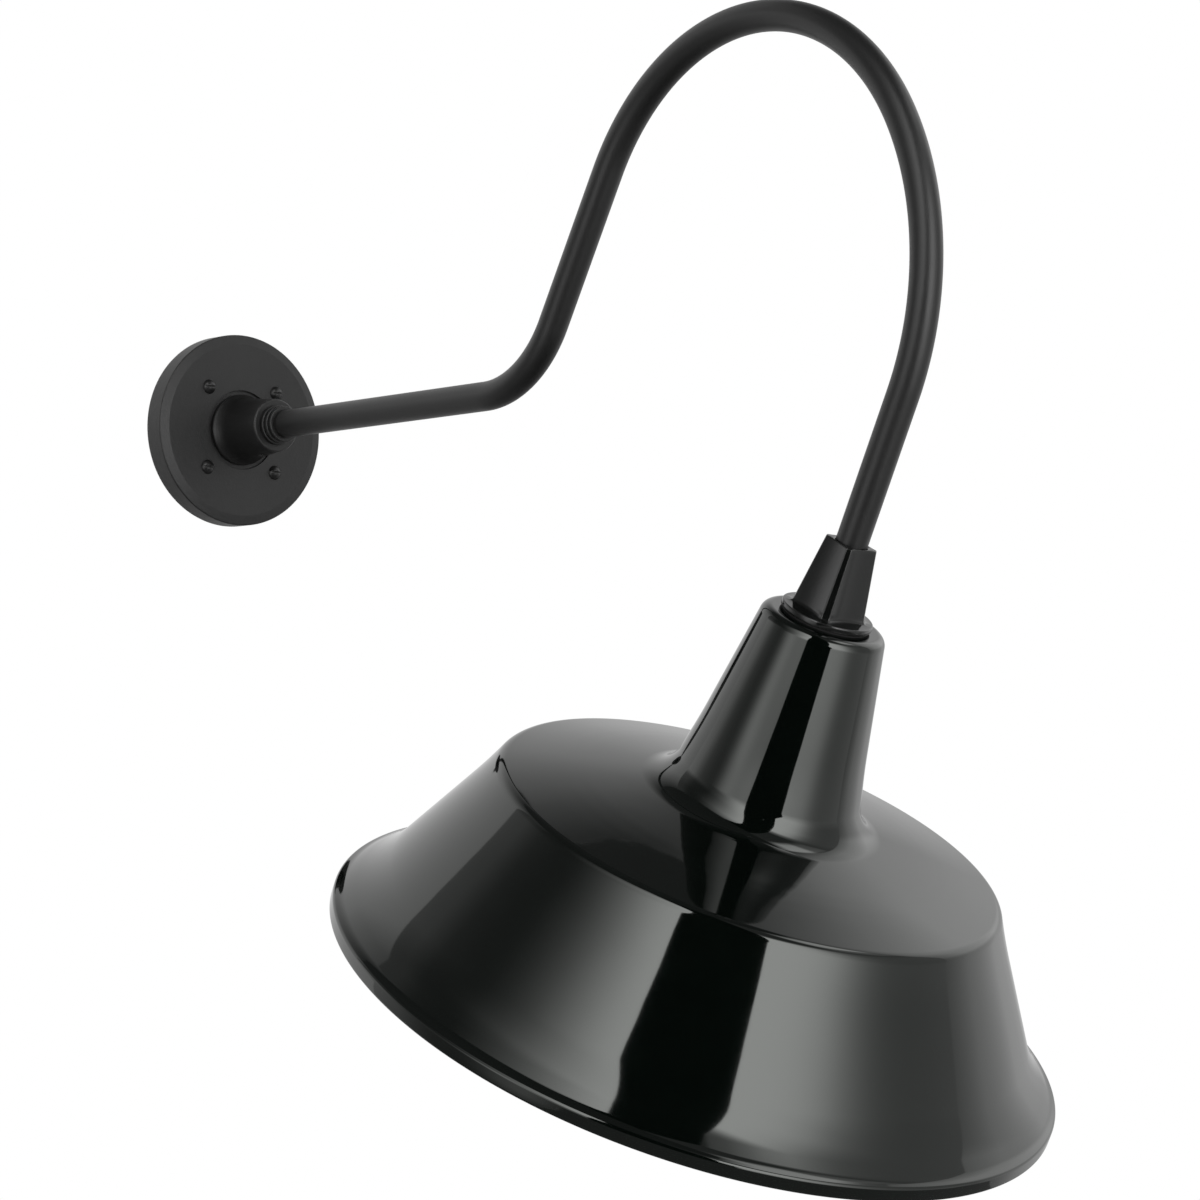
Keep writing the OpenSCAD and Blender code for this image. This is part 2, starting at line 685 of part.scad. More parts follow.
// Threaded nipple that the leads pass through
module socket_nipple() {
    color(brass_yellow) on_head_axis()
        ring(nipple_d, nipple_bore_d, nipple_end_z, spigot_end_z + nipple_nut_t + 1);
}

// Hexagon nut on the nipple above the plate
module nipple_nut() {
    color(brass_yellow) on_head_axis() difference() {
        translate([0, 0, spigot_end_z]) cylinder(r = hex_radius(nipple_nut_af), h = nipple_nut_t, $fn = 6);
        translate([0, 0, spigot_end_z - over]) cylinder(d = nipple_d, h = nipple_nut_t + 2 * over);
    }
}

// The positions of the two screws through the porcelain
module at_cover_screws() {
    for (side = [-1, 1]) translate([side * cover_screw_r, 0, 0]) children();
}

// Porcelain back cover over the terminals
module lampholder_cover() {
    outline = rounded_path([[0, cover_z], [holder_d / 2, cover_z], [holder_d / 2, cover_z + cover_side_h],
                            [cover_top_d / 2, cover_top_z - 3], [cover_top_d / 2, cover_top_z],
                            [0, cover_top_z]], [0, 0, 3, 1.5, 0.8, 0]);
    color(porcelain) on_head_axis() difference() {
        rotate_extrude() polygon(outline);
        translate([0, 0, cover_z - over]) cylinder(d = chamber_d, h = chamber_h + over);
        translate([0, 0, cover_z]) cylinder(d = nipple_d, h = cover_h + over);
        at_cover_screws() translate([0, 0, cover_z - over])
            cylinder(d = cover_screw_d + 2 * run_gap, h = cover_h);
        at_cover_screws() translate([0, 0, cover_z + cover_screw_seat])
            cylinder(d = cover_head_d + 2 * loose_gap, h = cover_h);
    }
}

// Two screws through the cover into the body
module cover_screws() {
    color(nut_steel) on_head_axis() at_cover_screws() translate([0, 0, cover_z + cover_screw_seat])
        round_head_screw(cover_screw_d, cover_head_d, 2.2, cover_screw_seat + 9);
}

// Porcelain body with its lamp well
module lampholder_body() {
    bead = 1.2;
    outline = rounded_path([[0, holder_mouth_z], [holder_d / 2 + bead, holder_mouth_z],
                            [holder_d / 2 + bead, holder_mouth_z + 6], [holder_d / 2, holder_mouth_z + 9],
                            [holder_d / 2, cover_z], [0, cover_z]], [0, 2, 2, 1, 0, 0]);
    color(porcelain) on_head_axis() difference() {
        rotate_extrude() polygon(outline);
        translate([0, 0, holder_mouth_z - over])
            cylinder(d = well_d, h = shell_base_z + block_t - holder_mouth_z + over);
        translate([0, 0, holder_mouth_z - 0.01]) cylinder(d1 = well_d + 4, d2 = well_d, h = 3);
        at_cover_screws() translate([0, 0, cover_z - 10]) cylinder(d = cover_screw_d, h = 10 + over);
        at_terminals() translate([0, 0, cover_z - 10]) cylinder(d = terminal_d, h = 10 + over);
    }
}

// Insulating block that carries the shell and the centre contact
module contact_block() {
    color(porcelain) on_head_axis()
        ring(well_d, 4, shell_base_z, shell_base_z + block_t);
}

// Screw shell: a plain tube at the thread's inner diameter, a narrower end round the contact and a holed floor
module screw_shell() {
    shell_d = shell_bore_d + 2 * shell_t;
    color(plated_steel) on_head_axis() {
        ring(shell_d, shell_bore_d, shell_base_z - shell_len, shell_base_z);
        ring(shell_d, shell_bore_d - 2 * shell_neck_step, shell_base_z - shell_neck_h, shell_base_z);
        ring(shell_d, contact_hole_d, shell_base_z - shell_t, shell_base_z);
    }
}

// Centre contact: stem through the block and a domed button
module centre_contact() {
    color(brass_yellow) on_head_axis() {
        translate([0, 0, shell_base_z - contact_h]) cylinder(d = 4, h = contact_h + block_t);
        translate([0, 0, shell_base_z - contact_h]) rotate([180, 0, 0])
            rotate_extrude() intersection() {
                translate([0, -5]) circle(r = 6.5);
                square([contact_d / 2, 3]);
            }
    }
}

// The positions of the two terminals
module at_terminals() {
    for (side = [-1, 1]) translate([0, side * terminal_r, 0]) children();
}

// Two wire-binding screws on the body, inside the cover
module terminal_screws() {
    color(brass_yellow) on_head_axis() at_terminals() translate([0, 0, cover_z])
        round_head_screw(terminal_d, terminal_head_d, terminal_head_h, 10);
}

// A lead from the pipe's end through the nipple to its terminal
module lead_tail(side) {
    bend_z = tail_run_z + tail_bend_r;
    bend_y = lead_offset + tail_bend_r;
    on_head_axis() mirror([0, side < 0 ? 1 : 0, 0]) {
        translate([0, lead_offset, bend_z]) cylinder(d = lead_d, h = pipe_end_z - face_gap - bend_z);
        translate([0, bend_y, bend_z]) rotate([90, 0, 90]) rotate([0, 0, 180])
            rotate_extrude(angle = 90) translate([tail_bend_r, 0]) circle(d = lead_d);
        translate([0, bend_y, tail_run_z]) rotate([-90, 0, 0])
            cylinder(d = lead_d, h = terminal_r - terminal_head_d / 2 - bend_y);
    }
}

// Black lead's last stretch in the lamp head
module line_tail() {
    color(wire_black) lead_tail(-1);
}

// White lead's last stretch in the lamp head
module neutral_tail() {
    color(wire_white) lead_tail(1);
}

wall_plate();
plate_gasket();
plate_screws();
arm_hub();
hub_locknut();
hub_set_screw();
ground_screw();
ground_lead();
gooseneck_tube();
arm_collar();
arm_bushing();
line_lead();
neutral_lead();
lead_ends();
finned_cap();
cap_set_screw();
neck_gasket();
shade();
neck_washer();
neck_ring_nut();
socket_bracket();
bracket_screws();
socket_nipple();
nipple_nut();
lampholder_cover();
cover_screws();
lampholder_body();
contact_block();
screw_shell();
centre_contact();
terminal_screws();
line_tail();
neutral_tail();
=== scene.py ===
import math

import bmesh
import bpy
import numpy as np
from mathutils import Matrix, Vector


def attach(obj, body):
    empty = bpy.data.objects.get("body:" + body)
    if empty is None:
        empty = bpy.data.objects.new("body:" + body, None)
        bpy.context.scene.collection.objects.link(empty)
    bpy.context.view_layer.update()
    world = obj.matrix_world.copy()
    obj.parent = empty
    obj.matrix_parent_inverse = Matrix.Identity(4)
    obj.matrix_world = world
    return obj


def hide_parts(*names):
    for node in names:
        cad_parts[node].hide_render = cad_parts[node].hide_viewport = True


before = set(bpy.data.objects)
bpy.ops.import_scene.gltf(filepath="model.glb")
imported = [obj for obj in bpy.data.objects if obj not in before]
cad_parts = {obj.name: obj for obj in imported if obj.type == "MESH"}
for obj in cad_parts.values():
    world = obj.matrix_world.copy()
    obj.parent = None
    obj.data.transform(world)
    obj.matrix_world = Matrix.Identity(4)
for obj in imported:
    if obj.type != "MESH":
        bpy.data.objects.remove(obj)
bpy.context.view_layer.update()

# The viewpoint. A long lens stands in front of the light, to the right of the arm and a little
# below the middle of the shade, looks up by less than four degrees, and is rolled by under one.
eye = Vector((2.43725, -1.61008, -0.31877))
swing, dip, roll = (math.radians(a) for a in (50.74, -3.74, 0.80))
ahead = Vector((-math.sin(swing) * math.cos(dip), math.cos(swing) * math.cos(dip), -math.sin(dip)))
level = Vector((math.cos(swing), math.sin(swing), 0))
upright = level.cross(ahead)
right = math.cos(roll) * level + math.sin(roll) * upright
top = -math.sin(roll) * level + math.cos(roll) * upright
camera_data = bpy.data.cameras.new("viewpoint")
camera_data.lens = 111
camera_data.sensor_width = 36
camera = bpy.data.objects.new("viewpoint", camera_data)
camera.matrix_world = Matrix((right, top, -ahead)).transposed().to_4x4()
camera.location = eye
bpy.context.scene.collection.objects.link(camera)
bpy.context.scene.camera = camera

# Round wall plate: cast iron, its face and rim machined, then powder coated satin black.
# It stands on its rim, hollow behind, with four bosses for the screws and a seat for the hub.
MM = 0.001
from_wall = Matrix(((0, 0, 1, 0), (0, 1, 0, 0), (-1, 0, 0, 0), (0, 0, 0, 1)))


class Wire:
    """The end of one node. Arithmetic on it adds a Math node, and make() adds any other node."""

    def __init__(self, tree, end):
        self.tree, self.end = tree, end

    def make(self, kind, settings=None, ends=None, out=0):
        node = self.tree.nodes.new(kind)
        for key, value in (settings or {}).items():
            setattr(node, key, value)
        for key, value in (ends or {}).items():
            if isinstance(value, Wire):
                self.tree.links.new(value.end, node.inputs[key])
            else:
                node.inputs[key].default_value = value
        return Wire(self.tree, node.outputs[out])

    def math(self, operation, a, b=0.0, clamp=False):
        return self.make("ShaderNodeMath", {"operation": operation, "use_clamp": clamp}, {0: a, 1: b})

    def __add__(self, other):
        return self.math("ADD", self, other)

    def __radd__(self, other):
        return self.math("ADD", other, self)

    def __sub__(self, other):
        return self.math("SUBTRACT", self, other)

    def __rsub__(self, other):
        return self.math("SUBTRACT", other, self)

    def __mul__(self, other):
        return self.math("MULTIPLY", self, other)

    def clipped(self):
        return self.math("ADD", self, 0.0, clamp=True)

    def above(self, low, high):
        """0 below low, 1 above high, and smooth between them."""
        return self.make("ShaderNodeMapRange", {"interpolation_type": "SMOOTHSTEP"},
                         {"Value": self, "From Min": low, "From Max": high})

    def stretched(self, scale, turn=(0, 0, 0)):
        return self.make("ShaderNodeMapping", {}, {"Vector": self, "Scale": scale, "Rotation": turn})

    def cloud(self, scale, detail=2.0, roughness=0.5):
        """Soft noise about 0.5, scale in patches per metre."""
        return self.make("ShaderNodeTexNoise", {"noise_dimensions": "3D"},
                         {"Vector": self, "Scale": scale, "Detail": detail, "Roughness": roughness})

    def cells(self, scale):
        """Distance to the nearest of many scattered points, scale in points per metre."""
        return self.make("ShaderNodeTexVoronoi", {"feature": "F1"},
                         {"Vector": self, "Scale": scale}, "Distance")

    def tint(self, dark, light):
        """The colour between dark at 0 and light at 1."""
        return self.make("ShaderNodeMix", {"data_type": "RGBA"},
                         {0: self, 6: paint(dark), 7: paint(light)}, 2)

    def bump(self, height, distance, normal=None, strength=1.0):
        ends = {"Height": height, "Distance": distance, "Strength": strength}
        if normal:
            ends["Normal"] = normal
        return self.make("ShaderNodeBump", {}, ends)

    def edges(self, radius):
        """Where the surface turns within radius: 0 on a flat, 1 on a sharp edge, and the eased normal."""
        eased = self.make("ShaderNodeBevel", {"samples": 4}, {"Radius": radius})
        true = self.make("ShaderNodeNewGeometry", out="Normal")
        along = self.make("ShaderNodeVectorMath", {"operation": "DOT_PRODUCT"}, {0: eased, 1: true}, "Value")
        contrast = 7.0
        return ((1.0 - along) * contrast).clipped(), eased


def paint(colour):
    return colour if isinstance(colour, Wire) else (*colour, 1.0)


def finish(name, **fixed):
    """A new material with one Principled shader. Gives both, and the place on the piece."""
    made = bpy.data.materials.new(name)
    made.use_nodes = True
    tree = made.node_tree
    shader = tree.nodes["Principled BSDF"]
    for key, value in fixed.items():
        end = shader.inputs[key.replace("_", " ")]
        end.default_value = (*value, 1.0) if isinstance(value, tuple) else value
    coords = tree.nodes.new("ShaderNodeTexCoord")
    return made, shader, Wire(tree, coords.outputs["Object"])


def feed(shader, **ends):
    """Joins varying values to the shader's inputs."""
    for key, value in ends.items():
        value.tree.links.new(value.end, shader.inputs[key.replace("_", " ")])


def powder_coat(name, orange_peel=1.0, gloss=0.40, cast=0.0):
    """Satin black powder coat: soft orange peel, a little thin and shiny where it is handled."""
    made, shader, place = finish(name, IOR=1.5, Specular_IOR_Level=0.40)
    edge_wear_and_highlight, eased = place.edges(0.0009)
    drift = place.cloud(14, 3)
    mottle = place.cloud(90, 4, 0.6)
    peel = place.cloud(950, 2, 0.45)
    sand = place.cloud(260, 3, 0.6)
    colour = (drift * 0.6 + mottle * 0.4).tint((0.0035, 0.0037, 0.0038), (0.0065, 0.0064, 0.0062))
    worn = (edge_wear_and_highlight * mottle.above(0.35, 0.75) * 0.55).clipped()
    feed(shader, Base_Color=worn.tint(colour, (0.055, 0.054, 0.052)),
         Roughness=gloss + (drift - 0.5) * 0.10 + (peel - 0.5) * 0.10 - edge_wear_and_highlight * 0.08,
         Normal=place.bump(peel * orange_peel + sand * cast * 3.0, 0.00007, eased, 0.8))
    return made


def dress(node, look):
    """A CAD solid that keeps its own mesh gets this finish."""
    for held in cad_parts[node].material_slots:
        held.material = look


cast_coat = powder_coat("cast_powder_coat", orange_peel=0.8, gloss=0.46, cast=1.0)
dress("wall_plate", cast_coat)

# Rubber ring between the plate's rim and the wall, cut from 1.5 mm sheet.
# It keeps rain out of the box and is held by the plate's screws alone.


def rubber(name, colour=(0.018, 0.018, 0.018)):
    """Black sheet rubber: matt, chalky in patches, with a fine cut grain."""
    made, shader, place = finish(name, IOR=1.5, Specular_IOR_Level=0.35)
    bloom = place.cloud(60, 5, 0.7)
    grain = place.cloud(1400, 2)
    feed(shader, Base_Color=bloom.above(0.45, 0.8).tint(colour, tuple(2.4 * c for c in colour)),
         Roughness=0.62 + bloom * 0.25, Normal=place.bump(grain + bloom * 0.5, 0.00006))
    return made


sheet_rubber = rubber("sheet_rubber")
dress("plate_gasket", sheet_rubber)

# Four slotted round-head machine screws hold the plate to the wall box. They are steel, painted
# with the plate, and their slots are set level. The rolled thread stands out behind the plate.
SCREW_CIRCLE_R, SCREW_D, HEAD_D, HEAD_H, SCREW_REACH = 88.9 / 2, 4.8, 11.4, 4.2, 14
FACE_X, THREAD_START_X = 20.5, 0.75


def solid(name, verts, faces, place=None, sharp=40):
    """A closed mesh object with its normals outwards and smooth shading up to the sharp angle."""
    mesh = bpy.data.meshes.new(name)
    mesh.from_pydata([tuple(v) for v in verts], [], faces)
    shell = bmesh.new()
    shell.from_mesh(mesh)
    bmesh.ops.remove_doubles(shell, verts=shell.verts, dist=1e-7)
    bmesh.ops.dissolve_degenerate(shell, edges=shell.edges, dist=1e-8)
    bmesh.ops.recalc_face_normals(shell, faces=shell.faces)
    shell.to_mesh(mesh)
    shell.free()
    if place:
        mesh.transform(place)
    mesh.shade_smooth()
    mesh.set_sharp_from_angle(angle=math.radians(sharp))
    made = bpy.data.objects.new(name, mesh)
    bpy.context.scene.collection.objects.link(made)
    return made


def loft(name, radii, heights, place=None, sharp=40):
    """A closed turned or ribbed shape in mm: a row for each height, a column for each angle."""
    rows, steps = radii.shape
    turn = np.linspace(0, 2 * math.pi, steps, endpoint=False)
    verts = np.stack([radii * np.cos(turn), radii * np.sin(turn), heights], axis=-1).reshape(-1, 3) * MM
    faces = [(j * steps + i, j * steps + (i + 1) % steps, (j + 1) % rows * steps + (i + 1) % steps,
              (j + 1) % rows * steps + i) for j in range(rows) for i in range(steps)
             if radii[j].any() or radii[(j + 1) % rows].any()]
    return solid(name, verts, faces, place, sharp)


def turned(name, outline, steps=96, place=None, sharp=40):
    """A shape turned about its axis from its whole outline, points of (radius, height) in mm."""
    outline = np.array(outline, float)
    radii = np.repeat(outline[:, :1], steps, axis=1)
    heights = np.repeat(outline[:, 1:], steps, axis=1)
    return loft(name, radii, heights, place, sharp)


def rounded(corners, radii, step=8.0, shift=0.0):
    """An outline with rounded corners, moved to its left by shift. Step is degrees for one facet."""
    made = []
    for i, corner in enumerate(corners):
        before, after = corners[max(i - 1, 0)], corners[min(i + 1, len(corners) - 1)]
        come = math.atan2(corner[1] - before[1], corner[0] - before[0]) if i else None
        leave = math.atan2(after[1] - corner[1], after[0] - corner[0]) if i < len(corners) - 1 else None
        come = leave if come is None else come
        leave = come if leave is None else leave
        turn = (leave - come + 3 * math.pi) % (2 * math.pi) - math.pi
        middle = come + turn / 2
        if not radii[i] or not turn:
            reach = shift / math.cos(turn / 2)
            made.append((corner[0] - reach * math.sin(middle), corner[1] + reach * math.cos(middle)))
            continue
        side = -1 if turn < 0 else 1
        reach = side * radii[i] / math.cos(turn / 2)
        cx, cy = corner[0] - reach * math.sin(middle), corner[1] + reach * math.cos(middle)
        count = max(2, math.ceil(abs(math.degrees(turn)) / step))
        for k in range(count + 1):
            angle = come - side * math.pi / 2 + turn * k / count
            made.append((cx + (radii[i] - side * shift) * math.cos(angle),
                         cy + (radii[i] - side * shift) * math.sin(angle)))
    return made


def cut(piece, tool):
    """Takes the tool out of the piece and removes the tool."""
    change = piece.modifiers.new("cut", "BOOLEAN")
    change.operation, change.solver, change.object = "DIFFERENCE", "EXACT", tool
    settle(piece)
    bpy.data.objects.remove(tool)


def settle(piece):
    """Turns what the modifiers make into the piece's own plain mesh."""
    bpy.context.view_layer.update()
    ready = piece.evaluated_get(bpy.context.evaluated_depsgraph_get())
    mesh = bpy.data.meshes.new_from_object(ready)
    piece.modifiers.clear()
    piece.data = mesh


def block(name, low, high):
    """A box between two corners in mm, used to cut the screws' slots."""
    verts = [Vector((x, y, z)) * MM
             for x in (low[0], high[0]) for y in (low[1], high[1]) for z in (low[2], high[2])]
    faces = [(0, 1, 3, 2), (4, 6, 7, 5), (0, 4, 5, 1), (2, 3, 7, 6), (0, 2, 6, 4), (1, 5, 7, 3)]
    return solid(name, verts, faces)


def slotted_screw(name, thread_d, head_d, head_h, plain, length, slot_w=1.4, pitch=0.8):
    """A round-head screw with its head on z = 0, a driver slot along y, a plain shank and a rolled thread."""
    steps, rows_in_a_pitch = 48, 7
    thread_depth, run_in, point_len, point_taper = pitch * 0.45, 1.2, 1.5, 0.6
    undercut, foot_ease, last_plain, edge_ease = 0.25, 0.15, 0.4, 0.12
    slot_floor = head_h * 0.45
    dome_r = (head_d ** 2 / 4 + head_h ** 2) / (2 * head_h)
    dome = np.array([(math.sqrt(max(dome_r ** 2 - (h + dome_r - head_h) ** 2, 0)), h)
                     for h in head_h * np.sin(np.linspace(math.pi / 2, 0, 13))])
    shank_r = thread_d / 2 - undercut
    wave = np.linspace(-plain, -length, int((length - plain) / pitch * rows_in_a_pitch))
    turn = np.linspace(0, 1, steps, endpoint=False)
    saw = np.abs(((wave[:, None] / pitch + turn) % 1) * 2 - 1)
    rise = np.clip((-plain - wave[:, None]) / run_in, 0, 1)
    point = np.clip((wave[:, None] + length) / point_len, 0, 1)
    crest = shank_r + (thread_d / 2 - shank_r) * rise
    rolled = crest - thread_depth * (1 - saw) * rise - (1 - point) * point_taper
    radii = np.vstack([np.repeat(dome[:, :1], steps, 1), np.full((1, steps), head_d / 2 - foot_ease),
                       np.full((2, steps), shank_r), rolled, np.zeros((1, steps))])
    heights = np.vstack([np.repeat(dome[:, 1:], steps, 1), np.zeros((2, steps)),
                         np.full((1, steps), last_plain - plain), np.repeat(wave[:, None], steps, 1),
                         np.full((1, steps), -length)])
    made = loft(name, radii, heights, sharp=50)
    cut(made, block("slot", (-slot_w / 2, -head_d, slot_floor), (slot_w / 2, head_d, head_h * 2)))
    ease = made.modifiers.new("ease", "BEVEL")
    ease.width, ease.segments = edge_ease * MM, 2
    ease.limit_method, ease.angle_limit = "ANGLE", math.radians(50)
    settle(made)
    return made


def open_tree(name, *inputs):
    """A new Geometry Nodes tree that takes a shape, these inputs and a finish. Gives them by name."""
    tree = bpy.data.node_groups.new(name, "GeometryNodeTree")
    for label, kind in (("Geometry", "NodeSocketGeometry"), *inputs, ("Finish", "NodeSocketMaterial")):
        tree.interface.new_socket(label, in_out="INPUT", socket_type=kind)
    tree.interface.new_socket("Geometry", in_out="OUTPUT", socket_type="NodeSocketGeometry")
    given = tree.nodes.new("NodeGroupInput")
    return {end.name: Wire(tree, end) for end in given.outputs if end.name}


def close_tree(value, shape):
    """Ends the tree with the shape as plain mesh in its finish."""
    real = shape.make("GeometryNodeRealizeInstances", {}, {"Geometry": shape})
    real = shape.make("GeometryNodeSetMaterial", {}, {"Geometry": real, "Material": value["Finish"]})
    last = shape.tree.nodes.new("NodeGroupOutput")
    shape.tree.links.new(real.end, last.inputs["Geometry"])
    return shape.tree


def circle_tree():
    """Geometry Nodes: sets copies of a piece out round a circle, each standing as the first."""
    value = open_tree("set out on a circle", ("Count", "NodeSocketInt"), ("Radius", "NodeSocketFloat"),
                      ("First angle", "NodeSocketFloat"))
    start = value["Geometry"]
    ring = start.make("GeometryNodeMeshCircle", {}, {"Vertices": value["Count"], "Radius": value["Radius"]})
    turn = start.make("ShaderNodeCombineXYZ", {}, {2: value["First angle"]})
    ring = start.make("GeometryNodeTransform", {}, {"Geometry": ring, "Rotation": turn})
    copies = start.make("GeometryNodeInstanceOnPoints", {}, {"Points": ring, "Instance": start})
    return close_tree(value, copies)


def grow(piece, tree, given):
    """Runs a Geometry Nodes tree on the piece with its named inputs, and keeps the plain mesh."""
    change = piece.modifiers.new(tree.name, "NODES")
    change.node_group = tree
    for item in tree.interface.items_tree:
        if item.in_out == "INPUT" and item.name in given:
            change[item.identifier] = given[item.name]
    settle(piece)


def seat(piece, body, slot, look, *nodes, place=None):
    """The finished piece takes its look, rides on its body and stands for these CAD nodes."""
    if place:
        piece.data.transform(place)
    piece.data.materials.clear()
    piece.data.materials.append(look)
    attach(piece, body)
    if nodes:
        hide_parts(*nodes)


screw_coat = powder_coat("screw_powder_coat", orange_peel=0.5, gloss=0.34)
screws = slotted_screw("fixing_screws", SCREW_D, HEAD_D, HEAD_H, FACE_X - THREAD_START_X,
                       FACE_X + SCREW_REACH)
grow(screws, circle_tree(), {"Count": 4, "Radius": SCREW_CIRCLE_R * MM, "First angle": math.radians(45),
                             "Finish": screw_coat})
seat(screws, "wall_mount", "satin_black", screw_coat, "plate_screws",
     place=from_wall @ Matrix.Translation((0, 0, FACE_X * MM)))

# Hub: turned steel, flared to a foot that sits in the plate's recess, bored for the pipe. A notched
# nut on its spigot clamps it inside the plate, and a grub screw under the barrel locks the arm.
coat = powder_coat("pipe_powder_coat")
dress("arm_hub", coat)
dress("hub_set_screw", screw_coat)


def bright_metal(name, colour, gloss=0.28, tarnish=(0.7, 0.68, 0.62)):
    """Plated or bare metal: fine tool marks, dull handled patches and brighter edges."""
    made, shader, place = finish(name, Metallic=1.0)
    edge_wear_and_highlight, eased = place.edges(0.0005)
    drift = place.cloud(70, 4, 0.6)
    marks = place.stretched((1, 1, 14)).cloud(420, 3, 0.6)
    dull = tuple(c * t for c, t in zip(colour, tarnish))
    tone = drift.above(0.35, 0.75).tint(colour, dull)
    feed(shader, Base_Color=(edge_wear_and_highlight * 0.5).tint(tone, tuple(min(1.0, 1.15 * c) for c in colour)),
         Roughness=gloss + (drift - 0.5) * 0.22 + (marks - 0.5) * 0.12,
         Normal=place.bump(marks + drift * 0.3, 0.00002, eased))
    return made


zinc = bright_metal("zinc_plated_steel", (0.60, 0.60, 0.575))
dress("hub_locknut", zinc)

# Bonding screw, painted green, on its own boss inside the plate. It holds a ring terminal
# whose green lead lies round the locknut.


def insulation(name, colour, gloss=0.38):
    """Extruded lead insulation: even colour with faint drag marks, slightly waxy."""
    made, shader, place = finish(name, IOR=1.46)
    drift = place.cloud(120, 3)
    drag = place.cloud(900, 2)
    dull = tuple(0.82 * c for c in colour)
    fresh = tuple(min(1.0, 1.1 * c) for c in colour)
    feed(shader, Base_Color=drift.tint(dull, fresh),
         Roughness=gloss + (drift - 0.5) * 0.16, Normal=place.bump(drag, 0.00003))
    return made


green_lead = insulation("green_lead", (0.03, 0.20, 0.06))
green_screw = insulation("green_screw_paint", (0.02, 0.17, 0.05), gloss=0.3)
dress("ground_screw", green_screw)
dress("ground_lead", green_lead)

# Arm: one length of half-inch steel pipe, bent level, up, over the crown and down into the cap,
# then powder coated. It turns in the hub. The leads run through it, so it is a true tube.
TUBE_R, TUBE_WALL, TUBE_START_X, REACH = 10.65, 2.77, 7.5, 334.0
ELBOW_R, ELBOW_TURN, RISE_LEN, CROWN_R, CROWN_TURN = 89, 60, 116, 168, -120.5
DROP_R, DROP_TURN, DROP_LEN, LEVEL_POINTS, LINE_POINTS, ARC_STEP = 191, -56.2, 134, 40, 24, 1.25


def arm_route():
    """Points of the pipe's middle line in mm, as (x, z), a straight or an arc at a time."""
    x, z, heading = REACH, 0.0, 0.0
    points = [(TUBE_START_X, 0.0)]
    points += [(TUBE_START_X + (x - TUBE_START_X) * k / LEVEL_POINTS, 0.0)
               for k in range(1, LEVEL_POINTS + 1)]
    for kind, size, turn in (("arc", ELBOW_R, ELBOW_TURN), ("line", RISE_LEN, 0),
                             ("arc", CROWN_R, CROWN_TURN), ("arc", DROP_R, DROP_TURN), ("line", DROP_LEN, 0)):
        if kind == "line":
            count = LINE_POINTS
            step = size / count
            for _ in range(count):
                x, z = x + step * math.cos(math.radians(heading)), z + step * math.sin(math.radians(heading))
                points.append((x, z))
            continue
        side = 1 if turn > 0 else -1
        cx = x - side * size * math.sin(math.radians(heading))
        cz = z + side * size * math.cos(math.radians(heading))
        count = math.ceil(abs(turn) / ARC_STEP)
        for k in range(1, count + 1):
            angle = math.radians(heading + turn * k / count)
            points.append((cx + side * size * math.sin(angle), cz - side * size * math.cos(angle)))
        x, z = points[-1]
        heading += turn
    return points


def pipe_tree():
    """Geometry Nodes: sweeps a round section along the route."""
    value = open_tree("sweep a pipe", ("Radius", "NodeSocketFloat"), ("Sides", "NodeSocketInt"))
    start = value["Geometry"]
    route = start.make("GeometryNodeMeshToCurve", {}, {"Mesh": start})
    section = start.make("GeometryNodeCurvePrimitiveCircle", {},
                         {"Resolution": value["Sides"], "Radius": value["Radius"]})
    tube = start.make("GeometryNodeCurveToMesh", {}, {"Curve": route, "Profile Curve": section})
    return close_tree(value, start.make("GeometryNodeSetShadeSmooth", {}, {"Geometry": tube}))


route = arm_route()
route_mesh = bpy.data.meshes.new("gooseneck")
along_route = [(i, i + 1) for i in range(len(route) - 1)]
route_mesh.from_pydata([(x * MM, 0, z * MM) for x, z in route], along_route, [])
pipe = bpy.data.objects.new("gooseneck", route_mesh)
bpy.context.scene.collection.objects.link(pipe)
grow(pipe, pipe_tree(), {"Radius": TUBE_R * MM, "Sides": 64, "Finish": coat})
wall = pipe.modifiers.new("wall", "SOLIDIFY")
wall.thickness, wall.offset = TUBE_WALL * MM, -1
settle(pipe)
seat(pipe, "gooseneck", "satin_black", coat, "gooseneck_tube")

# Collar: three turned rings on the pipe, jammed against the hub's nose. It hides the bore's gap.
# The grooves between the rings are left from the parting tool.
COLLAR_X, COLLAR_LEN, COLLAR_R, COLLAR_GAP = 68.3, 12, 15.5, 0.02
RING_W, RING_PITCH, RING_STEP, RING_ROUND, GROOVE_DEPTH = 3.4, 4.3, 0.8, 0.7, 1.8
collar_rings = []
for k in range(3):
    outer, low = COLLAR_R - RING_STEP * k, COLLAR_X + RING_PITCH * k
    floor_r, high = outer - GROOVE_DEPTH, low + RING_W
    collar_rings += rounded([(floor_r, low), (outer, low), (outer, high), (floor_r, high)],
                            [0, RING_ROUND, RING_ROUND, 0], 18)
inner = TUBE_R + COLLAR_GAP
collar_outline = [(inner, COLLAR_X)] + collar_rings + [(inner, COLLAR_X + COLLAR_LEN)]
collar = turned("collar", collar_outline, 96, from_wall)
seat(collar, "gooseneck", "satin_black", coat, "arm_collar")

# Bush in the pipe's back end, and the two leads that run through the whole arm to the cap. Their
# bare copper ends stand inside the plate, where the box's wires are joined to them.
bush_rubber = rubber("bush_rubber", (0.03, 0.03, 0.03))
black_lead = insulation("black_lead", (0.02, 0.02, 0.02))
white_lead = insulation("white_lead", (0.72, 0.71, 0.68))
copper = bright_metal("bare_copper", (0.80, 0.43, 0.29), 0.3, (0.6, 0.5, 0.5))
dress("arm_bushing", bush_rubber)
dress("line_lead", black_lead)
dress("neutral_lead", white_lead)
dress("lead_ends", copper)
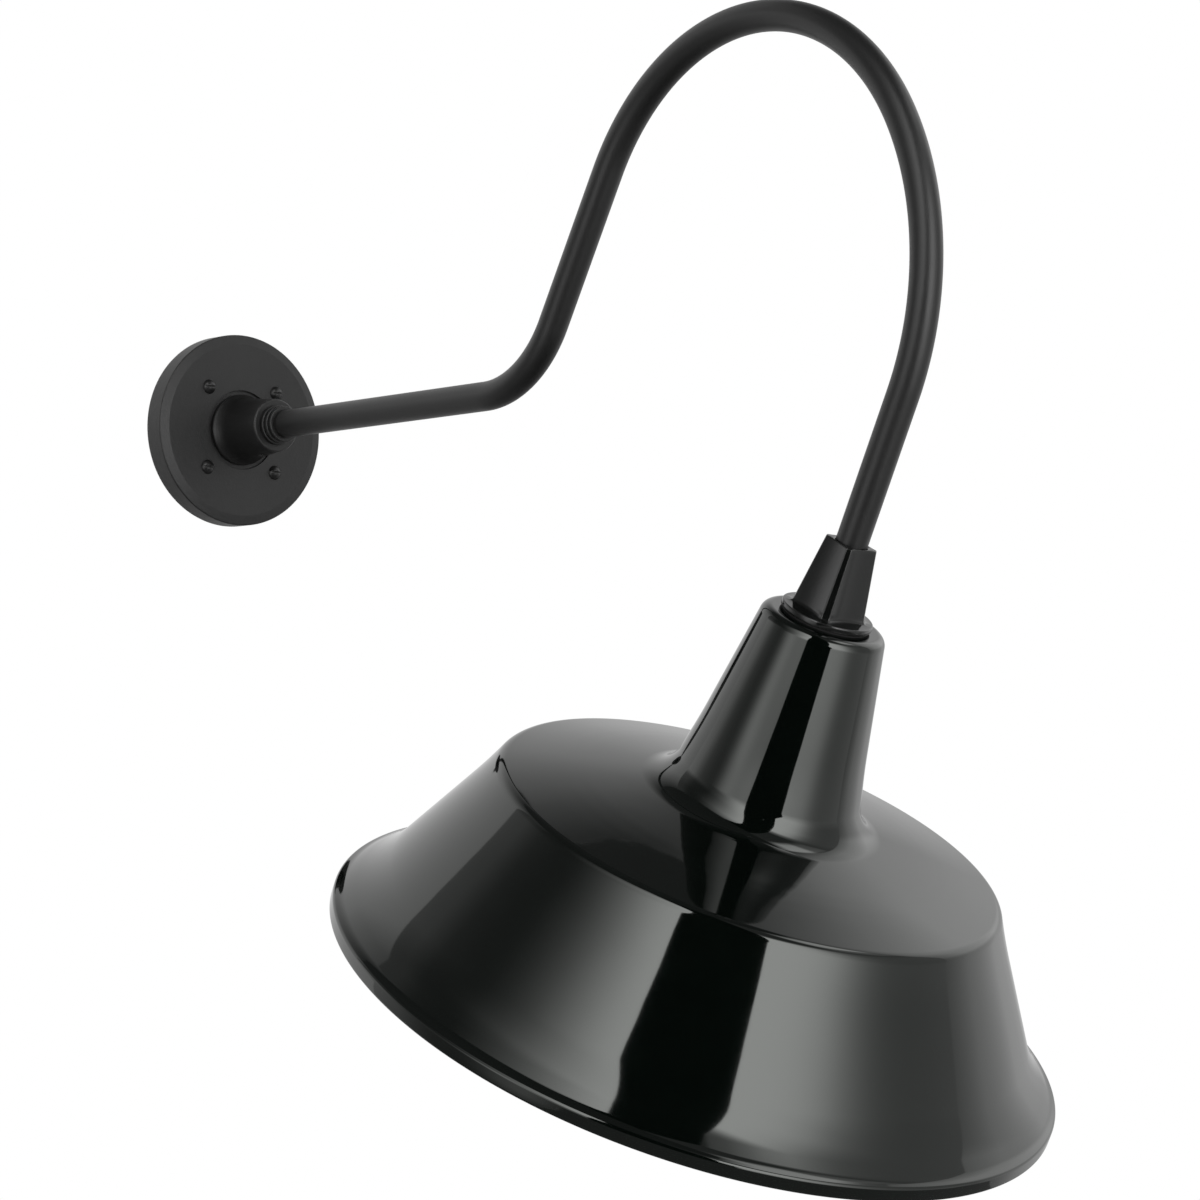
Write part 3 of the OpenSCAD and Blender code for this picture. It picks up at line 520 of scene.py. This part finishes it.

# Fitter cap: cast aluminium with four tapering ribs, a concave flute between each pair, and a round
# flange on a threaded spigot. It is painted gloss black; its edges are lightened, partly where the paint
# draws back and partly as a painted highlight.
TILT, RIM_X, RIM_Z = 26.7, 0.569955, -0.424357
on_head = Matrix.Translation((RIM_X, 0, RIM_Z)) @ Matrix.Rotation(math.radians(TILT), 4, "Y")
FLUTE_R, RIB_FOOT_Z, CAP_TOP_Z, FLANGE_Z, SPIGOT_END_Z = 60.0, 285.5, 333.5, 281.5, 262.5
RIB_FOOT_R, RIB_TOP_R, RIB_FOOT_W, RIB_TOP_W, RIB_SOFT = 24.0, 16.8, 5.6, 3.6, 0.3
FOOT_FILLET_R, FOOT_SWELL, TOP_ROUND_R, FLANGE_R, FLANGE_NECK_R = 2.2, 2.0, 0.8, 30.5, 20.1
SPIGOT_R, SPIGOT_THREAD_DEPTH, SPIGOT_PITCH = 20.5, 0.55, 1.6
MOUTH_R, BORE_R, PIPE_END_Z, THROAT_R, PASSAGE_R, PASSAGE_TOP_Z = 12.0, 10.72, 300.2, 7.9, 12, 289.5
SET_SCREW_R, SET_SCREW_Z, DRILL_LEN = 3, 312.05, 40


def flute_axis(rib_r, rib_w):
    """Distance of a flute's axis from the cap's, where ribs of this width end at this radius."""
    along = (math.sqrt(rib_r ** 2 - rib_w ** 2 / 4) + rib_w / 2) * math.sqrt(0.5)
    return along + math.sqrt(along ** 2 + FLUTE_R ** 2 - rib_r ** 2)


def ribbed_row(z, turn, ease=0.0, swell=0.0):
    """Radius of the ribbed body at height z for each angle, with softened rib edges."""
    part = (z - RIB_FOOT_Z) / (CAP_TOP_Z - RIB_FOOT_Z)
    rib = RIB_FOOT_R + (RIB_TOP_R - RIB_FOOT_R) * part
    foot_axis, top_axis = flute_axis(RIB_FOOT_R, RIB_FOOT_W), flute_axis(RIB_TOP_R, RIB_TOP_W)
    axis = foot_axis + (top_axis - foot_axis) * part
    off = (turn + math.pi / 4) % (math.pi / 2) - math.pi / 4
    flute = axis * np.cos(off) - np.sqrt(FLUTE_R ** 2 - (axis * np.sin(off)) ** 2)
    blend = np.maximum(RIB_SOFT - np.abs(rib - flute), 0) / RIB_SOFT
    return np.minimum(rib, flute) - blend ** 2 * RIB_SOFT / 4 - ease + swell


def thread(radius, depth, pitch, heights, turn):
    """Radii of a cut thread, for a column of heights and a row of angles."""
    saw = np.abs(((heights[:, None] / pitch + turn / (2 * math.pi)) % 1) * 2 - 1)
    return radius - depth * (1 - saw)


steps = 384
turn = np.linspace(0, 2 * math.pi, steps, endpoint=False)


def round_rows(outline):
    """The cap's rows where it is round, one for each (radius, height)."""
    return [(np.full(steps, r), z) for r, z in outline]


cap_rows = round_rows([(PASSAGE_R, SPIGOT_END_Z), (SPIGOT_R - 0.5, SPIGOT_END_Z)])
spigot_heights = np.linspace(SPIGOT_END_Z + 0.4, FLANGE_Z - 1.0, 60)
cap_rows += zip(thread(SPIGOT_R, SPIGOT_THREAD_DEPTH, SPIGOT_PITCH, spigot_heights, turn), spigot_heights)
flange = rounded([(FLANGE_NECK_R, FLANGE_Z), (FLANGE_R, FLANGE_Z), (FLANGE_R, RIB_FOOT_Z),
                  (RIB_FOOT_R, RIB_FOOT_Z)], [0, 0.7, 0.9, 0], 15)
cap_rows += round_rows(flange[:-1])
cap_rows += [(ribbed_row(RIB_FOOT_Z, turn, swell=FOOT_SWELL), RIB_FOOT_Z)]
for rise in (0.12, 0.35, 0.7, 1.1, 1.6, 2.2):
    fillet = FOOT_FILLET_R - math.sqrt(FOOT_FILLET_R ** 2 - (FOOT_FILLET_R - rise) ** 2)
    cap_rows.append((ribbed_row(RIB_FOOT_Z + rise, turn, swell=fillet), RIB_FOOT_Z + rise))
cap_rows += [(ribbed_row(z, turn), z) for z in np.linspace(RIB_FOOT_Z + 4, CAP_TOP_Z - TOP_ROUND_R, 24)]
for drop in (0.5, 0.25, 0.1, 0.0):
    round_off = TOP_ROUND_R - math.sqrt(TOP_ROUND_R ** 2 - (TOP_ROUND_R - drop) ** 2)
    cap_rows.append((ribbed_row(CAP_TOP_Z - drop, turn, ease=round_off), CAP_TOP_Z - drop))
cap_rows += round_rows([(MOUTH_R, CAP_TOP_Z), (MOUTH_R - 0.4, CAP_TOP_Z - 0.1), (BORE_R, CAP_TOP_Z - 1.0),
                        (BORE_R, PIPE_END_Z), (THROAT_R, PIPE_END_Z), (THROAT_R, PASSAGE_TOP_Z),
                        (PASSAGE_R, PASSAGE_TOP_Z)])
cap = loft("fitter_cap", np.array([row for row, _ in cap_rows]),
           np.array([np.full(steps, z) for _, z in cap_rows]), sharp=42)


def gloss_paint(name):
    """Gloss black paint on a casting: the metal's sand texture just shows, and edges are lighter, partly worn
    thin and partly a painted highlight.
    """
    made, shader, place = finish(name, IOR=1.5, Specular_IOR_Level=0.42)
    edge_wear_and_highlight, eased = place.edges(0.0006)
    drift = place.cloud(40, 3)
    sand = place.cloud(330, 4, 0.6)
    # The edge mask tints the edges light grey: partly paint worn thin, partly a painted highlight along the
    # rib edges.
    feed(shader, Base_Color=(edge_wear_and_highlight * 0.8).tint(drift.tint((0.0018, 0.0021, 0.0019), (0.0035, 0.0039, 0.0037)),
                                             (0.17, 0.17, 0.165)),
         Roughness=0.12 + (drift - 0.5) * 0.06 + (sand - 0.5) * 0.06, Normal=place.bump(sand, 0.00005, eased))
    return made


cap_paint = gloss_paint("cast_cap_paint_edge_highlight")
drill = turned("drill", [(0, 0), (SET_SCREW_R, 0), (SET_SCREW_R, DRILL_LEN), (0, DRILL_LEN)], 48,
               Matrix.Translation((0, 0, SET_SCREW_Z * MM)) @ Matrix.Rotation(math.radians(-90), 4, "Y"))
cut(cap, drill)
seat(cap, "lamp_head", "cap_black", cap_paint, "finned_cap", place=on_head)
dress("cap_set_screw", screw_coat)

# Gasket between the flange and the neck, its black rubber darkened further as painted shade under the
# flange, and under the neck a red fibre washer that the notched ring nut pulls up on the cap's spigot, so
# that the shade is clamped without a screw.
dress("neck_gasket", rubber("neck_rubber_darkened_as_shade", (0.004, 0.004, 0.004)))


def vulcan_fibre(name):
    """Red-brown vulcanised fibre with short darker fibres in it."""
    made, shader, place = finish(name, IOR=1.5)
    strands = place.stretched((1, 6, 1), (0, 0, 0.6)).cloud(420, 3)
    feed(shader, Base_Color=strands.tint((0.11, 0.022, 0.014), (0.24, 0.06, 0.035)),
         Roughness=0.55 + strands * 0.25, Normal=place.bump(strands, 0.00006))
    return made


dress("neck_washer", vulcan_fibre("red_fibre"))
dress("neck_ring_nut", zinc)

# Shade: spun from steel sheet with a beaded lip, a flared skirt, a rounded shoulder, a low dome and
# a tall tapering neck. It is dipped in glass enamel and fired, black outside and white inside.
SHADE_R, SHEET, BEAD_R, LIP_H, RIM_FLANGE = 250.0, 1.4, 1.8, 9.8, 5
NECK_TOP_R, OPENING_R, SHADE_TOP_Z = 41.0, 21.0, 280.0
# Corners from the lip over the skirt, shoulder, dome and neck to its opening, and what rounds each
corners = [(SHADE_R, BEAD_R), (SHADE_R, LIP_H), (SHADE_R - RIM_FLANGE, 12.1), (SHADE_R - 22.8, 28.1),
           (181.5, 107.0), (171.6, 127.4), (124.45, 138.8), (65.7, 150.2), (56.5, 190.0),
           (NECK_TOP_R, SHADE_TOP_Z), (OPENING_R, SHADE_TOP_Z)]
corner_radii = [0, 2.5, 15, 90, 380, 10, 800, 26, 400, 7, 0]
outside = rounded(corners, corner_radii, 0.9)
inside = rounded(corners, corner_radii, 0.9, SHEET)
bead = [(SHADE_R - BEAD_R + BEAD_R * math.cos(a), BEAD_R + BEAD_R * math.sin(a))
        for a in np.linspace(-math.pi * 0.93, -0.12, 14)]


def even(outline, reach):
    """Points added so that no stretch of the outline is longer than reach."""
    made = [outline[0]]
    for a, b in zip(outline, outline[1:]):
        count = max(1, math.ceil(math.dist(a, b) / reach))
        made += [(a[0] + (b[0] - a[0]) * k / count, a[1] + (b[1] - a[1]) * k / count)
                 for k in range(1, count + 1)]
    return made


def enamel(name, thin, thick, ripple, edge):
    """Fired glass enamel: flows flat, with a faint ripple, rare pinholes and thinner colour at the lip."""
    made, shader, place = finish(name, IOR=1.52, Specular_Tint=(0.97, 1.0, 0.965))
    flow = place.cloud(16, 2, 0.4)
    drift = place.cloud(45, 3, 0.55)
    specks = 1.0 - place.cells(240).above(0.02, 0.05)
    rare = place.cloud(20, 1).above(0.6, 0.7)
    pits = specks * rare
    dust = place.cloud(600, 3, 0.7).above(0.62, 0.8)
    edge_wear_and_highlight, _ = place.edges(0.0012)
    tone = drift.tint(thin, thick)
    feed(shader, Base_Color=(edge_wear_and_highlight * 0.35).tint(tone, edge),
         Roughness=0.035 + drift * 0.03 + dust * 0.05,
         Normal=place.bump(flow - pits * 0.25, ripple))
    return made


black_enamel = enamel("black_enamel", (0.0007, 0.0012, 0.0009), (0.0012, 0.002, 0.0016), 0.00016,
                      (0.012, 0.0115, 0.0105))
white_enamel = enamel("white_enamel", (0.80, 0.79, 0.75), (0.86, 0.85, 0.81), 0.0002, (0.6, 0.57, 0.5))
shell_outline = even(outside, 6) + even(inside[::-1], 6) + bead
shade = turned("spun_shade", shell_outline, 320, on_head, sharp=60)
seat(shade, "lamp_head", "black_enamel", black_enamel, "shade")
shade.data.materials.append(white_enamel)
from_axis = on_head.inverted()
for face in shade.data.polygons:
    spot = from_axis @ face.center
    out = from_axis.to_3x3() @ face.normal
    radial = out.x * spot.x + out.y * spot.y
    if spot.z > 4 * MM and (radial < 0 and spot.xy.length > 40 * MM or out.z < -0.5):
        face.material_index = 1

# Round steel plate under the spigot, two screws into the cap, and the nipple and nut that carry
# the lampholder and let the leads through.
brass = bright_metal("turned_brass", (0.80, 0.60, 0.27), 0.24, (0.62, 0.55, 0.45))
dress("socket_bracket", zinc)
dress("bracket_screws", zinc)
dress("socket_nipple", brass)
dress("nipple_nut", brass)

# Lampholder: two glazed porcelain halves held by two screws. The back one covers the terminals, and
# the front one has the well for the lamp, with an insulating block at its end.


def porcelain(name, colour=(0.83, 0.81, 0.75)):
    """Glazed porcelain: warm white, slightly pooled, with a few dark iron specks under the glaze."""
    made, shader, place = finish(name, IOR=1.52, Coat_Weight=0.4, Coat_Roughness=0.05)
    pool = place.cloud(90, 3)
    specks = (1.0 - place.cells(700).above(0.05, 0.11)) * place.cloud(300, 1).above(0.56, 0.6)
    tone = pool.tint(tuple(0.93 * c for c in colour), colour)
    feed(shader, Base_Color=(specks * 0.7).tint(tone, (0.30, 0.23, 0.16)),
         Roughness=0.10 + pool * 0.10, Normal=place.bump(pool, 0.0002))
    return made


glaze = porcelain("glazed_porcelain")
for node in ("lampholder_cover", "lampholder_body", "contact_block"):
    dress(node, glaze)
dress("cover_screws", zinc)

# Screw shell: nickel-plated brass sheet rolled with the lamp's coarse round thread and drawn in at
# its end, and the brass button of the centre contact on its stem.
SHELL_TOP_Z, SHELL_LEN, SHELL_R, SHELL_SHEET = 203.9, 30.0, 13.3, 0.5
DRAWN_IN, DRAWN_LEN, LAMP_PITCH, ROLL_HALF, ROLL_FADE, CONTACT_HOLE_R = 0.7, 4.5, 3.63, 0.45, 2.5, 5.5
shell_steps = 96
shell_heights = np.linspace(SHELL_TOP_Z - SHELL_LEN, SHELL_TOP_Z, 61)
shell_turn = np.linspace(0, 1, shell_steps, endpoint=False)
to_neck = SHELL_TOP_Z - DRAWN_LEN - shell_heights
fade = np.clip(np.minimum(shell_heights - (SHELL_TOP_Z - SHELL_LEN), to_neck) / ROLL_FADE, 0, 1)
roll = 1 - np.cos(2 * math.pi * (shell_heights[:, None] / LAMP_PITCH + shell_turn))
drawn = DRAWN_IN * np.clip(0.5 - to_neck / 0.8, 0, 1)
inner_radii = SHELL_R - ROLL_HALF * roll * fade[:, None] - drawn[:, None]
under_top_z = SHELL_TOP_Z - SHELL_SHEET
inside_heights = np.minimum(shell_heights[::-1][1:, None], under_top_z)
radii = np.vstack([inner_radii + SHELL_SHEET, np.full((2, shell_steps), CONTACT_HOLE_R),
                   inner_radii[::-1][1:]])
heights = np.vstack([np.repeat(shell_heights[:, None], shell_steps, 1),
                     np.full((1, shell_steps), SHELL_TOP_Z), np.full((1, shell_steps), under_top_z),
                     np.repeat(inside_heights, shell_steps, 1)])
shell = loft("lamp_thread_shell", radii, heights, on_head, 50)
nickel = bright_metal("nickel_plated_brass", (0.66, 0.63, 0.56), 0.22)
seat(shell, "lamp_head", "plated_steel", nickel, "screw_shell")
dress("centre_contact", brass)
dress("terminal_screws", brass)
dress("line_tail", black_lead)
dress("neutral_tail", white_lead)

# Studio: a pale floor well below the light, a white surround, and two tall cloth screens that
# stand either side of the viewpoint, brightest beside it, with dark cloths between and above.
HUB_OF_ROOM = Vector((0.60, 0.0, -0.30))
ROOM_R = 4.5


def screen(name, left, right, low, high, glow, room_r=ROOM_R, columns=60, rows=36):
    """A curved cloth on the room's wall between two azimuths, either of which may lean with elevation."""
    verts, light = [], []
    for j in range(rows + 1):
        height = low + (high - low) * j / rows
        a, b = left(height), right(height)
        for i in range(columns + 1):
            azimuth = a + (b - a) * i / columns
            out = Vector((math.cos(math.radians(azimuth)) * math.cos(math.radians(height)),
                          math.sin(math.radians(azimuth)) * math.cos(math.radians(height)),
                          math.sin(math.radians(height))))
            verts.append(HUB_OF_ROOM + out * room_r)
            light.append(glow(azimuth, height))
    faces = [(j * (columns + 1) + i, j * (columns + 1) + i + 1, (j + 1) * (columns + 1) + i + 1,
              (j + 1) * (columns + 1) + i) for j in range(rows) for i in range(columns)]
    mesh = bpy.data.meshes.new(name)
    mesh.from_pydata([tuple(v) for v in verts], [], faces)
    mesh.shade_smooth()
    mesh.attributes.new("glow", "FLOAT", "POINT").data.foreach_set("value", light)
    made = bpy.data.objects.new(name, mesh)
    bpy.context.scene.collection.objects.link(made)
    cloth = bpy.data.materials.new(name)
    cloth.use_nodes = True
    tree = cloth.node_tree
    tree.nodes.clear()
    strength = tree.nodes.new("ShaderNodeAttribute")
    strength.attribute_name = "glow"
    lit = tree.nodes.new("ShaderNodeEmission")
    last = tree.nodes.new("ShaderNodeOutputMaterial")
    tree.links.new(strength.outputs["Fac"], lit.inputs["Strength"])
    tree.links.new(lit.outputs[0], last.inputs["Surface"])
    mesh.materials.append(cloth)
    made.visible_camera = False
    return made


def left_edge(height):
    """Azimuth in degrees of the left screen's edge beside the viewpoint, at this angle above level."""
    return np.interp(height, [-30, 20, 50, 56, 62], [-71.5, -50, -32, -34, -47])


def right_edge(height):
    """The same for the right screen's edge."""
    return np.interp(height, [-30, -20, -10, 0, 10, 20, 40, 62],
                     [-21, -20.5, -15.5, -21, -17.5, -14, -8.5, -5])


def left_glow(azimuth, height):
    """Light of the left screen: strongest at its edge, with a low patch and a far one."""
    away = max(0.0, left_edge(height) - azimuth)
    reach = np.interp(height, [20, 30, 40, 50], [25, 26, 29.5, 33.5])
    rise = np.interp(height, [-30, -20, -10, 0, 10, 50, 58, 62],
                     [0.06, 0.24, 0.3, 0.55, 0.97, 1.0, 0.45, 0.15])
    far = np.interp(azimuth, [-150, -138, -125, -100], [1.4, 1.3, 0.6, 0.1])
    far *= np.interp(height, [-30, -10, 10, 22, 30, 50], [0.12, 0.35, 0.7, 1.0, 0.38, 0.22])
    low = 1.7 * math.exp(-((azimuth + 91) / 12) ** 2) * np.interp(height, [-30, -12, 2, 14], [0.1, 1, 1, 0])
    return far + low + 5.3 * math.exp(-(away / reach) ** 1.7) * rise


def right_glow(azimuth, height):
    """Light of the right screen: bright beside the viewpoint, falling off softly to a dim base."""
    base = np.interp(height, [-30, -15, 0, 32, 40], [0.7, 0.85, 0.6, 0.6, 0.4])
    rise = np.interp(height, [-30, -20, -5, 32, 37, 40], [0.36, 0.45, 0.98, 1.0, 0.15, 0.08])
    middle = np.interp(height, [12, 20, 28], [10.8, 12.4, 11.2])
    return base + 5.2 * rise / (1 + math.exp((azimuth - middle) / 6.2))


def ceiling_glow(azimuth, height):
    """Light of the cloth over the right screen: a bright patch on a dim ground."""
    return 0.25 + np.interp(azimuth, [20, 32, 54, 60], [0, 1, 1, 0.4]) * np.interp(
        height, [40, 47, 50, 58, 62], [0.5, 0.8, 3.0, 3.0, 0.1])


def back_glow(azimuth, height):
    """Light of the cloth behind the object, which only its shiny surfaces see."""
    near = np.interp(height, [-30, -15, 0, 12, 20, 40, 50, 62], [0.25, 0.55, 0.6, 0.65, 0.95, 1.0, 0.7, 0.2])
    far = np.interp(height, [-30, -15, 0, 40, 50, 62], [0.3, 0.8, 1.0, 1.0, 0.7, 0.2])
    rise = near + (far - near) * np.clip((azimuth - 110) / 40, 0, 1)
    return rise * np.interp(azimuth, [60, 75, 100, 118, 150, 180, 210], [1.2, 1.8, 1.7, 0.85, 0.8, 1.0, 1.15])


screen("left_screen", lambda h: -150.0, left_edge, -30, 62, left_glow)
screen("right_screen", right_edge, lambda h: 60.0, -30, 40, right_glow)
glossy_only = [screen("gap_cloth", left_edge, right_edge, -30, 62, lambda a, h: 0.0),
               screen("ceiling_cloth", right_edge, lambda h: 60.0, 40, 62, ceiling_glow),
               screen("back_cloth", lambda h: 60.0, lambda h: 210.0, -30, 62, back_glow),
               screen("roof_cloth", lambda h: -180.0, lambda h: 180.0, 62, 90, lambda a, h: 0.1),
               screen("low_cloth", lambda h: -180.0, lambda h: 180.0, -90, -31, lambda a, h: 0.2, 2.2)]
for cloth in glossy_only:
    cloth.visible_diffuse = False
    cloth.visible_shadow = False

FLOOR_Z, FLOOR_BACK, FLOOR_FRONT, FLOOR_SIDE = -2.6, -5, 7, 6
floor_mesh = bpy.data.meshes.new("floor")
floor_mesh.from_pydata([(FLOOR_BACK, -FLOOR_SIDE, FLOOR_Z), (FLOOR_FRONT, -FLOOR_SIDE, FLOOR_Z),
                        (FLOOR_FRONT, FLOOR_SIDE, FLOOR_Z), (FLOOR_BACK, FLOOR_SIDE, FLOOR_Z)],
                       [], [(0, 1, 2, 3)])
floor = bpy.data.objects.new("floor", floor_mesh)
bpy.context.scene.collection.objects.link(floor)
pale, shader, place = finish("pale_floor", Roughness=0.9)
feed(shader, Base_Color=place.cloud(3, 3).tint((0.80, 0.80, 0.79), (0.84, 0.84, 0.83)))
floor_mesh.materials.append(pale)

world = bpy.data.worlds.new("white_surround")
bpy.context.scene.world = world
world.use_nodes = True
tree = world.node_tree
rays = tree.nodes.new("ShaderNodeLightPath").outputs
direct, mirrored, through = (Wire(tree, rays[kind])
                             for kind in ("Is Camera Ray", "Is Glossy Ray", "Is Transmission Ray"))
seen = direct.math("MAXIMUM", direct, mirrored.math("MAXIMUM", mirrored, through))
tree.links.new((0.6 + seen * 0.4).end, tree.nodes["Background"].inputs["Strength"])
tree.nodes["Background"].inputs["Color"].default_value = (1, 1, 1, 1)
bpy.context.scene.view_settings.view_transform = "Standard"
